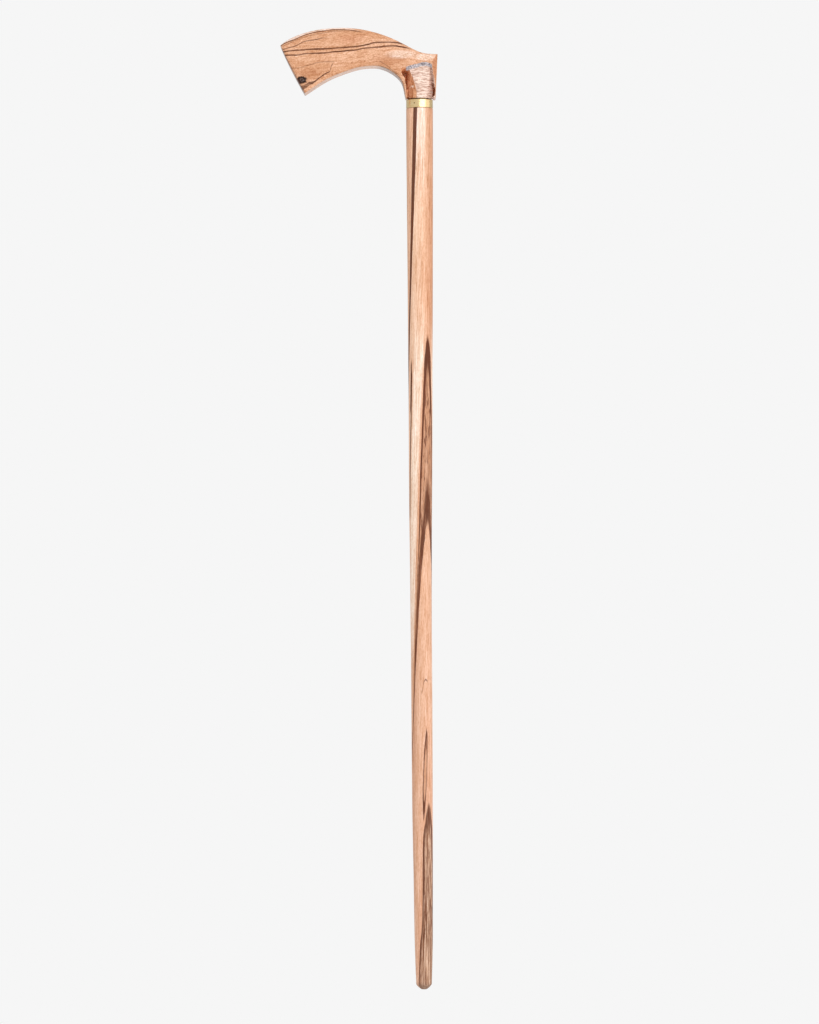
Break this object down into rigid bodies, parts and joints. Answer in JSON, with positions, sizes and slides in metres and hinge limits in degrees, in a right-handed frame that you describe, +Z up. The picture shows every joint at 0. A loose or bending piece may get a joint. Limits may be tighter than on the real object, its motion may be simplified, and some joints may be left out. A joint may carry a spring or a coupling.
{
  "type": "walking cane",
  "caption": "Straight wooden walking cane with a curved carved handle, a round neck, a slim brass collar and a tapered shaft ending in a bare rounded tip.",
  "frame": {"origin": "middle of the flat end of the tip", "axes": "+Z up the shaft's axis, the handle's nose along -X and its heel along +X, the handle's flat sides facing -Y and +Y"},
  "size_m": [0.1491, 0.03, 0.9128],
  "materials": {
    "handle_wood": "oiled hardwood with dark veins, rough carved neck",
    "shaft_wood": "satin varnish over pale wood with dark streaks",
    "collar_brass": "polished",
    "pin_brass": "dulled",
    "stud_steel": "plain threaded rod",
    "bedding_epoxy": "cured clear amber glue"
  },
  "bodies": {
    "root": {"handle": "handle_wood", "shaft": "shaft_wood", "collar": "collar_brass", "collar_pin": "pin_brass", "joint_stud": "stud_steel", "handle_bedding": "bedding_epoxy", "shaft_bedding": "bedding_epoxy"}
  },
  "joints": []
}
